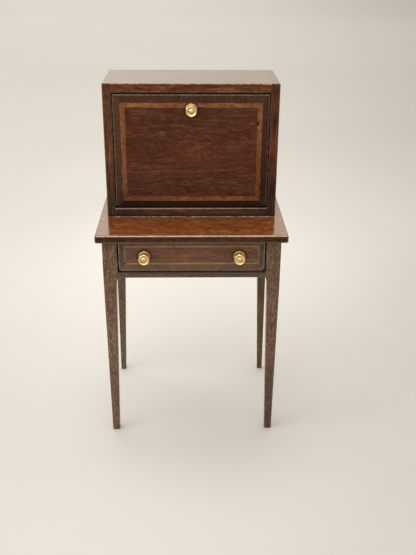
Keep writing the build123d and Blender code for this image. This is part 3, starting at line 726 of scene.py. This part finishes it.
def dress_cabinet():
    for hand in HANDS:
        name = f"cabinet_side_{hand}"
        extras = [toned(name, Z, 0.5, 0.0, (0.36, 0.46, 0.6))]
        if hand == "right":
            # Painted shade: the right side is darker
            extras.append(tinted((0.83, 0.68, 0.58)))
        coat_node(name, "case", "z", wear_and_highlights=[
            ((f"front {hand}", f"{hand} top"), 0.3, 0.5, RED_WEAR),
            # Wear round the opening, partly a painted highlight on its bevel
            (opening_edge(name, OPPOSITE[hand]), 0.36, 0.5, GREY_WEAR_AND_HIGHLIGHT),
        ], lines_and_gap_shadows=[
            # Painted shadow along the cabinet's foot, where it meets the table top
            (near_edge(name, "front bottom"), 0.9, 0.9, SOOT_AND_GAP_SHADOW),
        ], extras=extras)
    coat_node("cabinet_top", "case", "x", wear_and_highlights=[
        (("front top",), 0.3, 0.5, BEIGE_WEAR, 0.1),
        # Wear along the lower front edge, partly a painted highlight on its bevel
        (("front bottom",), 0.36, 0.6, GREY_WEAR_AND_HIGHLIGHT),
    # Painted highlight: lighter and yellower along the front edge
    ], extras=[toned("cabinet_top", Y, 0.05, 0.0, (1.24, 1.1, 0.93))])
    coat_node("cabinet_floor", "case", "x", wear_and_highlights=[
        # Wear along the front top edge, partly a painted highlight
        (("front top",), 0.36, 0.75, RAIL_WEAR_AND_HIGHLIGHT, 0.3),
    ], lines_and_gap_shadows=[
        # Painted shadow along the cabinet's foot, where it meets the table top
        (near_edge("cabinet_floor", "front bottom"), 0.9, 0.9, SOOT_AND_GAP_SHADOW),
    ], extras=[
        toned("cabinet_floor", X, 0.3, 0.0, (0.45, 0.5, 0.55)),
        toned("cabinet_floor", X, 0.75, 1.0, (0.45, 0.5, 0.55)),
        tinted((0.88, 0.80, 0.64)),
    ])
    coat_node("cabinet_back", "interior", "z")
    coat_node("cabinet_shelf", "interior", "x", wear_and_highlights=[(("front top",), 0.2, 0.5, RED_WEAR)])
    coat_node("fall_stop_strip", "interior", "x")
    for index in (1, 2, 3):
        coat_node(f"pigeonhole_divider_{index}", "interior", "z")


def mitre_seam(outer, inner, up):
    """Distance from the mitres at a frame's two upper or lower corners, by its pieces there."""
    outer_low, outer_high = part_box(outer)
    inner_low, inner_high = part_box(inner)
    x_out, x_in = outer_high.x * PER_METRE, inner_high.x * PER_METRE
    z_out = (outer_high.z if up else outer_low.z) * PER_METRE
    z_in = (inner_high.z if up else inner_low.z) * PER_METRE
    length = math.hypot(x_in - x_out, z_in - z_out)
    across = ((z_in - z_out) / length, (x_in - x_out) / length)

    def distance(g, place):
        x, _, z = g.split(place)
        along_x = g.math("SUBTRACT", g.math("ABSOLUTE", x), x_out)
        along_z = g.math("SUBTRACT", z, z_out)
        crossed = g.math("MULTIPLY", along_z, -across[1])
        return g.math("ABSOLUTE", g.math("MULTIPLY_ADD", along_x, across[0], crossed))

    return distance


# The veneers' joints: how far they stray from straight, in mm, and how they look
JOINT_NOISE = (1.1, 3.0, 0.6)
JOINT_RAGGED = 0.55
JOINT_WIDTH = 0.12
JOINT_COLOUR = (0.012, 0.006, 0.004)
MITRE_WIDTH = 0.09
MITRE_STRENGTH = 0.22
MITRE_COLOUR = (0.15, 0.125, 0.10)


def ragged_edge(node, side):
    """Distance from one side of an inlaid strip, a little uneven along it."""
    def distance(g, place):
        ragged = g.uneven(g.noise(place, *JOINT_NOISE), JOINT_RAGGED)
        return g.math("ADD", edge_distance(g, place, node, (f"front {side}",)), ragged)
    return distance


def dress_face(prefix, line, looks, bevel, worn_and_highlit, joint, tones):
    """Crossbanding, the line inside it and the field.

    Looks are the three woods, bevel is how wide the outer edge's wear and painted highlight are,
    the next gives the colours of the level edges' wear and painted highlight and the uprights',
    and joint is how strongly the line's joints show.
    """
    for place in PLACES:
        band, strip = f"{prefix}_crossbanding_{place}", f"{prefix}_{line}_{place}"
        level = place in ("bottom", "top")
        mitres = []
        for end in (place,) if level else ("bottom", "top"):
            outer, inner = f"{prefix}_crossbanding_{end}", f"{prefix}_{line}_{end}"
            seam = mitre_seam(outer, inner, end == "top")
            mitres.append((seam, MITRE_WIDTH, MITRE_STRENGTH, MITRE_COLOUR))
        # The outer edge's wear, partly a painted highlight on its bevel
        edge_wear_and_highlight = ((f"front {place}",), bevel, 0.8, worn_and_highlit[0 if level else 1], 0.35)
        grain = "z" if level else "x"
        coat_node(band, looks[0], grain, [edge_wear_and_highlight], mitres, tones(band, place))
        joints = [
            (ragged_edge(strip, side), JOINT_WIDTH, joint, JOINT_COLOUR)
            for side in (place, OPPOSITE[place])
        ]
        grain = "x" if level else "z"
        coat_node(strip, looks[1], grain, lines_and_gap_shadows=joints, extras=tones(strip, place))
    field = f"{prefix}_field_veneer"
    coat_node(field, looks[2], "x", extras=tones(field, "field"))


# Painted light and shade on the fall's crossbanding: much darker at the bottom, lighter at the top
# and the sides
FALL_PAINTED_LIGHT_AND_SHADE = {
    "fall_crossbanding_bottom": (0.42, 0.14, 0.04),
    "fall_crossbanding_left": (1.8, 1.68, 1.6),
    "fall_crossbanding_right": (1.2, 1.0, 0.92),
    "fall_crossbanding_top": (1.38, 1.2, 1.1),
}
# The dark of the old chip is painted shade in its notch
CHIP_SHADOW_COLOUR = (0.012, 0.007, 0.004)
BARE_COLOUR = (0.42, 0.22, 0.10)


def fall_tones(node, place):
    """Painted shade: the fall is darker and browner lower down, with a painted shadow round its
    knob.
    Its right strip has an old chip, dark with painted shade.
    """
    tones = {
        "bottom": [toned(node, X, 0.5, 0.0, (0.85, 0.8, 0.75)), tinted((0.92, 0.82, 0.74))],
        "top": [],
        "left": [
            toned(node, Z, 1.0, 0.0, (0.8, 0.8, 0.8)),
            toned(node, Z, 0.17, 0.0, (0.46, 0.38, 0.34)),
        ],
        "right": [toned(node, Z, 1.0, 0.0, (0.6, 0.56, 0.52))],
        "field": [
            toned(node, Z, 0.6, 0.0, (0.92, 0.95, 1.0)),
            flecked(point_on(node, 0.56, 0.52), 12.0, 0.4, (0.24, 0.075, 0.02), (0.7, 2.6)),
            spotted(point_on(node, 0.9, 0.72), 1.1, 0.4, (0.02, 0.01, 0.006), (0.5, 1.0)),
        ],
    }[place]
    if node in FALL_PAINTED_LIGHT_AND_SHADE:
        tones.append(tinted(FALL_PAINTED_LIGHT_AND_SHADE[node]))
    if node in ("fall_band_right", "fall_field_veneer"):
        chip = point_on("fall_band_right", 0.15, 0.795)
        bare = point_on("fall_band_right", 0.3, 0.757)
        tones.append(spotted(chip, 0.55, 0.95, CHIP_SHADOW_COLOUR, (1.3, 0.85)))
        tones.append(spotted(bare, 0.4, 0.7, BARE_COLOUR))
    if node in ("fall_band_top", "fall_field_veneer"):
        tones.append(knob_shadow_ring("fall_knob"))
    return tones


def drawer_tones(node, place):
    """Painted shadow round the knobs, and a short scratch over the stringing's lower left mitre."""
    tones = []
    if place == "field":
        tones = [knob_shadow_ring("drawer_knob_left"), knob_shadow_ring("drawer_knob_right")]
    if place in ("left", "right"):
        tones = [tinted((0.60, 0.68, 0.8))]
    x, z = point_on("drawer_stringing_bottom", 0.0, 0.0)
    return tones + [scored((x - 0.15, z - 0.1), (x + 0.6, z + 0.6), 0.2, 0.85, SOOT_AND_GAP_SHADOW)]


def dress_moving_parts():
    looks = ("crossbanding", "band", "field")
    dress_face("fall", "band", looks, 0.36, (GREY_WEAR_AND_HIGHLIGHT, UPRIGHT_WEAR_AND_HIGHLIGHT), 0.6, fall_tones)
    looks = ("drawer_crossbanding", "stringing", "drawer_field")
    dress_face("drawer", "stringing", looks, 0.42, (DRAWER_WEAR_AND_HIGHLIGHT, DRAWER_WEAR_AND_HIGHLIGHT), 0.15, drawer_tones)
    coat_node("fall_panel", "case", "x", wear_and_highlights=[(("front top",), 0.3, 0.5, RED_WEAR)])
    coat_node("drawer_front", "leg", "x")
    for hand in HANDS:
        coat_node(f"drawer_side_{hand}", "lining", "y")
    coat_node("drawer_back", "lining", "x")
    coat_node("drawer_bottom", "lining", "x")


# ---- Turned brass -------------------------------------------------------------------------

BRASS = (0.90, 0.63, 0.32)
BRASS_DEEP = (0.24, 0.14, 0.03)
BRASS_ROUGHNESS = 0.2
DULLED_ROUGHER = 0.25
# Turning marks, how much closer they are along the axis than across it, and their height
TURNING_NOISE = (9.0, 2.0, 0.6)
TURNING_ALONG_AXIS = 1.7
TURNING_BUMP_MM = 0.01
PATINA_NOISE = (1.6, 4.0, 0.65)
PATINA_STRENGTH = 0.15
HOLLOW_REACH_MM = 0.9
# The neck is dull below these heights, and only this near the axis, in mm
NECK_HEIGHTS = (2.0, 1.6)
NECK_RADII = (1.52, 1.34)


def make_brass():
    """Polished brass with fine turning marks round local Z, dull in its hollows and its neck."""
    material, g = new_material("turned_brass")
    place = object_place(g)
    radius = g.vector("LENGTH", g.vector("MULTIPLY", place, (1.0, 1.0, 0.0)))
    height = g.split(place)[2]
    along = g.math("MULTIPLY_ADD", height, TURNING_ALONG_AXIS, radius)
    turning = g.noise_along(along, *TURNING_NOISE)
    patina = g.fade(g.noise(place, *PATINA_NOISE), 0.42, 0.68)
    reach = {"Distance": HOLLOW_REACH_MM * MM}
    open_sky = g.add("ShaderNodeAmbientOcclusion", reach, samples=6).outputs["AO"]
    hollow = g.fade(open_sky, 0.7, 0.25)
    dulled = g.math("MULTIPLY_ADD", patina, PATINA_STRENGTH, hollow, clamp=True)
    neck = g.math("MULTIPLY", g.fade(height, *NECK_HEIGHTS), g.fade(radius, *NECK_RADII))
    dulled = g.math("MAXIMUM", dulled, neck)
    colour = g.mix(dulled, BRASS, BRASS_DEEP)
    roughness = g.math("MULTIPLY_ADD", dulled, DULLED_ROUGHER, BRASS_ROUGHNESS)
    g.surface("ShaderNodeBsdfPrincipled", {
        "Base Color": colour,
        "Metallic": 1.0,
        "Roughness": roughness,
        "Normal": g.bump(0.5, TURNING_BUMP_MM, turning),
    })
    return material


def arc_through(start, middle, end, steps):
    """Points on the circle through three points of an outline, start and end included."""
    (ax, ay), (bx, by), (cx, cy) = start, middle, end
    d = 2 * (ax * (by - cy) + bx * (cy - ay) + cx * (ay - by))
    a2, b2, c2 = ax * ax + ay * ay, bx * bx + by * by, cx * cx + cy * cy
    ux = (a2 * (by - cy) + b2 * (cy - ay) + c2 * (ay - by)) / d
    uy = (a2 * (cx - bx) + b2 * (ax - cx) + c2 * (bx - ax)) / d
    radius = math.hypot(ax - ux, ay - uy)
    first = math.atan2(ay - uy, ax - ux)
    sweep = math.remainder(math.atan2(by - uy, bx - ux) - first, math.tau)
    sweep += math.remainder(math.atan2(cy - uy, cx - ux) - first - sweep, math.tau)
    turns = [first + sweep * i / steps for i in range(steps + 1)]
    return [(ux + radius * math.cos(turn), uy + radius * math.sin(turn)) for turn in turns]


# How far a knob stands out of its face, and how deep its shank goes into it, in mm
KNOB_LENGTH = 2.9
SHANK_DEPTH = 1.8
SHANK_RADIUS = 0.5
KNOB_SEGMENTS = 72
ON_AXIS = 1e-6


def knob_outline():
    """Half of the knob's outline in mm: distance from the axis, and distance out of the face."""
    shank = [(0.0, -SHANK_DEPTH), (SHANK_RADIUS, -SHANK_DEPTH), (SHANK_RADIUS, 0.0)]
    flange = arc_through((1.45, 0.0), (1.6, 0.17), (1.42, 0.36), 8)
    step = [(1.28, 0.4), (1.22, 0.47), (1.1, 0.47)]
    neck = arc_through((1.05, 0.52), (0.72, 1.12), (1.28, 1.88), 14)
    head = arc_through((1.32, 1.93), (1.56, 2.33), (1.32, 2.74), 16)
    dish = arc_through((1.28, 2.75), (1.0, 2.54), (0.76, 2.46), 8)
    boss = arc_through((0.70, 2.49), (0.42, 2.78), (0.0, KNOB_LENGTH), 12)
    return shank + flange + step + neck + head + dish + boss


def turn_mesh(name, outline):
    """Spins an outline, which starts and ends on the axis, round Z into a closed, smooth mesh."""
    bm = bmesh.new()
    turns = [math.tau * step / KNOB_SEGMENTS for step in range(KNOB_SEGMENTS)]
    rings = []
    for radius, out in outline:
        if radius < ON_AXIS:
            rings.append([bm.verts.new((0.0, 0.0, out * MM))])
            continue
        rings.append([
            bm.verts.new((radius * MM * math.cos(turn), radius * MM * math.sin(turn), out * MM))
            for turn in turns
        ])
    for lower, upper in zip(rings, rings[1:]):
        for step in range(KNOB_SEGMENTS):
            after = (step + 1) % KNOB_SEGMENTS
            if len(lower) == 1:
                bm.faces.new((lower[0], upper[after], upper[step]))
            elif len(upper) == 1:
                bm.faces.new((lower[step], lower[after], upper[0]))
            else:
                bm.faces.new((lower[step], lower[after], upper[after], upper[step]))
    bmesh.ops.recalc_face_normals(bm, faces=bm.faces)
    mesh = bpy.data.meshes.new(name)
    bm.to_mesh(mesh)
    bm.free()
    mesh.shade_smooth()
    return mesh


KNOB_BODIES = {
    "fall_knob": "fall_front",
    "drawer_knob_left": "drawer",
    "drawer_knob_right": "drawer",
}


def make_knobs(brass):
    """Replaces each CAD knob by a finely turned one, with local Z out of the face."""
    mesh = turn_mesh("turned_knob", knob_outline())
    mesh.materials.append(brass)
    outwards = Matrix.Rotation(math.pi / 2, 4, "X")
    for name, body in KNOB_BODIES.items():
        low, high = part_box(name)
        knob = bpy.data.objects.new(f"turned_{name}", mesh)
        bpy.context.scene.collection.objects.link(knob)
        middle = (low + high) / 2
        face_y = low.y + KNOB_LENGTH * MM
        knob.matrix_world = Matrix.Translation((middle.x, face_y, middle.z)) @ outwards
        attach(knob, body)
        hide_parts(name)


WIRE = (0.20, 0.13, 0.06)
WIRE_TARNISH = (0.07, 0.045, 0.025)
TARNISH_NOISE = (2.5, 4.0, 0.65)
DRAWING_NOISE = (14.0, 2.0, 0.5)
DRAWING_STRETCH = 0.1
WIRE_ROUGHNESS = 0.4
TARNISHED_ROUGHER = 0.2
WIRE_BUMP_MM = 0.005


def make_pin_metal():
    """Old drawn wire along X, gone brown and dull."""
    material, g = new_material("hinge_wire")
    place = object_place(g)
    tarnish = g.fade(g.noise(place, *TARNISH_NOISE), 0.35, 0.65)
    drawn_out = g.vector("MULTIPLY", place, (DRAWING_STRETCH, 1.0, 1.0))
    drawn = g.noise(drawn_out, *DRAWING_NOISE)
    g.surface("ShaderNodeBsdfPrincipled", {
        "Base Color": g.mix(tarnish, WIRE, WIRE_TARNISH),
        "Metallic": 1.0,
        "Roughness": g.math("MULTIPLY_ADD", tarnish, TARNISHED_ROUGHER, WIRE_ROUGHNESS),
        "Normal": g.bump(0.4, WIRE_BUMP_MM, drawn),
    })
    return material


def dress_pins():
    wire = make_pin_metal()
    for hand in HANDS:
        fill_slots(nodes[f"hinge_pin_{hand}"].data, wire)


# ---- Studio -------------------------------------------------------------------------------

FLOOR_HALF = 6.0
FLOOR_COLOUR = (0.80, 0.767, 0.711)
FLOOR_ROUGHNESS = 0.8
CLOUD_NOISE = (9.0, 3.0, 0.5)
CLOUD_SHADE = 0.985
WORLD_COLOUR = (0.70, 0.68, 0.64)


def make_sheet(name, corners, material):
    """One flat face with a material, in the scene. Corners go round it, in metres."""
    mesh = bpy.data.meshes.new(name)
    mesh.from_pydata(corners, [], [(0, 1, 2, 3)])
    mesh.materials.append(material)
    sheet = bpy.data.objects.new(name, mesh)
    bpy.context.scene.collection.objects.link(sheet)
    return sheet


def floor_painted_light_and_shade(g, place):
    """Painted light and shade on the paper: pairs of how much of a tint there is, and the tint."""
    x, y, _ = g.split(place)

    def both(first, second):
        return g.math("MULTIPLY", first, second)

    def around(centre, outer, inner):
        return g.fade(g.vector("DISTANCE", place, centre), outer, inner)

    # How far to the right of the object a place is in the picture
    slant = g.math("DIVIDE", x, g.math("MAXIMUM", g.math("ADD", y, 0.3), 0.1))
    nearer = g.fade(y, 0.5, -0.1)
    behind = both(g.fade(y, 0.12, 0.22), g.fade(y, 0.5, 0.3))
    halo = around((0.0, 0.19, 0.0), 0.16, 0.05)
    beyond = both(g.fade(y, 0.45, 0.8), g.fade(y, 1.3, 0.95))
    aside = both(g.fade(x, -0.03, -0.065), g.fade(y, 0.3, 0.15))
    right = g.fade(slant, -0.1, 0.45)
    corner = both(g.fade(slant, 0.05, 0.3), g.fade(y, 0.2, 0.4))
    between_back_legs = around((-0.005, 0.085, 0.0), 0.12, 0.03)
    under = around((0.01, -0.03, 0.0), 0.06, 0.02)
    return (
        (nearer, (0.89, 0.89, 0.90)),
        (behind, (0.96, 0.96, 0.96)),
        (halo, (1.08, 1.08, 1.08)),
        (beyond, (1.09, 1.09, 1.09)),
        (aside, (0.95, 0.95, 0.96)),
        (right, (0.84, 0.84, 0.845)),
        (corner, (0.925, 0.925, 0.925)),
        (between_back_legs, (1.14, 1.14, 1.13)),
        (under, (1.05, 1.05, 1.05)),
    )


def make_floor():
    """Pale paper, with painted light and shade: brighter behind the object and under it, greyer
    nearby and to the right.
    """
    material, g = new_material("studio_floor")
    place = g.add("ShaderNodeTexCoord").outputs["Object"]
    cloud = g.fade(g.noise(place, *CLOUD_NOISE), 0.3, 0.7)
    colour = g.mix(cloud, FLOOR_COLOUR, tuple(c * CLOUD_SHADE for c in FLOOR_COLOUR))
    for amount, tint in floor_painted_light_and_shade(g, place):
        colour = g.tint(amount, colour, tint)
    inputs = {"Base Color": colour, "Roughness": FLOOR_ROUGHNESS}
    shader = g.surface("ShaderNodeBsdfPrincipled", inputs)
    shader.inputs["Specular IOR Level"].default_value = 0.0
    signs = ((-1, -1), (1, -1), (1, 1), (-1, 1))
    corners = [(x * FLOOR_HALF, y * FLOOR_HALF, 0.0) for x, y in signs]
    floor = make_sheet("floor", corners, material)


def make_world():
    world = bpy.data.worlds.new("studio")
    world.use_nodes = True
    bpy.context.scene.world = world
    background = world.node_tree.nodes["Background"]
    background.inputs["Color"].default_value = (*WORLD_COLOUR, 1.0)
    background.inputs["Strength"].default_value = 1.0


def aim(obj, place, target):
    """Stands obj at place with its -Z towards target."""
    obj.location = place
    obj.rotation_euler = (Vector(target) - Vector(place)).to_track_quat("-Z", "Y").to_euler()


def add_area(name, place, target, width, height, radiance):
    """A soft white light given by its radiance, which the camera doesn't see."""
    data = bpy.data.lights.new(name, "AREA")
    data.shape = "RECTANGLE"
    data.size, data.size_y = width, height
    data.energy = radiance * math.pi * width * height
    light = bpy.data.objects.new(name, data)
    bpy.context.scene.collection.objects.link(light)
    aim(light, place, target)
    light.visible_camera = False


def add_card(name, place, turn, half_width, height, glow):
    """A card that only reflections see, turned in degrees round X at its foot.

    Glow gives its colour from its own x and z, in metres.
    """
    material, g = new_material(name)
    x, _, z = g.split(g.add("ShaderNodeTexCoord").outputs["Object"])
    g.surface("ShaderNodeEmission", {"Color": glow(g, x, z), "Strength": 1.0})
    corners = [(-half_width, 0.0, 0.0), (half_width, 0.0, 0.0)]
    corners += [(half_width, 0.0, height), (-half_width, 0.0, height)]
    card = make_sheet(name, corners, material)
    card.location = place
    card.rotation_euler = (math.radians(turn), 0.0, 0.0)
    card.visible_camera = False
    card.visible_diffuse = False
    card.visible_shadow = False
    card.visible_transmission = False


# Paper behind the object, as its polished tops reflect it: pale low down, then bright, and
# dimmer to the right. The heights and the places across are in metres.
BACK_LOW = (1.22, 1.14, 0.98)
BACK_HIGH = (2.42, 2.28, 1.9)
BACK_RIGHT_TINT = (0.82, 0.82, 0.80)
BACK_BRIGHTENS = (0.235, 0.305)
BACK_DIMS = (-0.12, 0.12)


def back_glow(g, x, z):
    colour = g.mix(g.fade(z, *BACK_BRIGHTENS), BACK_LOW, BACK_HIGH)
    return g.tint(g.fade(x, *BACK_DIMS), colour, BACK_RIGHT_TINT)


def plain_glow(shade):
    """The same glow all over a card."""
    return lambda g, x, z: shade


# Each light's name, place, target, width, height and radiance, in metres
MIDDLE = (0.0, 0.0, 0.07)
LIGHTS = (
    ("main", (-0.07, 0.2, 0.6), MIDDLE, 0.45, 0.35, 2.15),
    ("far", (-0.2, 1.45, 0.7), (-0.15, 1.25, 0.0), 0.7, 0.4, 1.6),
    ("overhead", (-0.05, -0.15, 0.6), MIDDLE, 0.22, 0.22, 1.2),
    ("left", (-0.34, -0.12, 0.28), MIDDLE, 0.22, 0.22, 2.4),
    ("strip", (-0.04, -0.16, 0.27), MIDDLE, 0.3, 0.03, 4.5),
)

# Each card's name, foot, turn, half width, height and glow. The tops reflect the first, bevels
# and knobs the next two, and the shade keeps the upright faces dark.
CARDS = (
    ("back_card", (0.0, 0.6, 0.0), 0.0, 0.9, 0.7, back_glow),
    ("overhead_card", (-0.05, -0.26, 0.58), -90.0, 0.11, 0.22, plain_glow((2.6, 2.5, 2.3))),
    ("front_card", (0.0, -0.62, 0.0), 0.0, 0.8, 1.0, plain_glow((1.15, 1.1, 1.0))),
    ("camera_shade", (0.0, -0.145, 0.0), 0.0, 0.065, 0.1, plain_glow((0.03, 0.026, 0.022))),
)


def make_studio():
    make_world()
    make_floor()
    for light in LIGHTS:
        add_area(*light)
    for card in CARDS:
        add_card(*card)


# ---- Camera -------------------------------------------------------------------------------

# The camera's place in mm, where it looks in degrees, and its lens
CAMERA_PLACE = (-0.620, -210.283, 138.496)
CAMERA_DOWN = 24.522
CAMERA_RIGHT = 1.501
CAMERA_ROLL = 0.415
CAMERA_LENS = 50.07


def make_camera():
    """Stands where the photo was taken from. Depth of field stays off."""
    down, right, roll = (math.radians(a) for a in (CAMERA_DOWN, CAMERA_RIGHT, CAMERA_ROLL))
    ahead = Vector((math.sin(right), math.cos(right), 0.0))
    forward = ahead * math.cos(down) - Vector((0.0, 0.0, math.sin(down)))
    level = Vector((math.cos(right), -math.sin(right), 0.0))
    upward = level.cross(forward)
    camera_x = math.cos(roll) * level + math.sin(roll) * upward
    camera_y = -math.sin(roll) * level + math.cos(roll) * upward
    turn = Matrix((camera_x, camera_y, -forward)).transposed().to_4x4()
    data = bpy.data.cameras.new("camera")
    data.lens = CAMERA_LENS
    data.clip_start = 0.01
    data.clip_end = 50.0
    camera = bpy.data.objects.new("camera", data)
    camera.matrix_world = Matrix.Translation(Vector(CAMERA_PLACE) * MM) @ turn
    bpy.context.scene.collection.objects.link(camera)
    bpy.context.scene.camera = camera


# ---- Everything together ------------------------------------------------------------------

bpy.context.scene.view_settings.view_transform = "Standard"
make_camera()
make_studio()
dress_table()
dress_cabinet()
dress_moving_parts()
make_knobs(make_brass())
dress_pins()
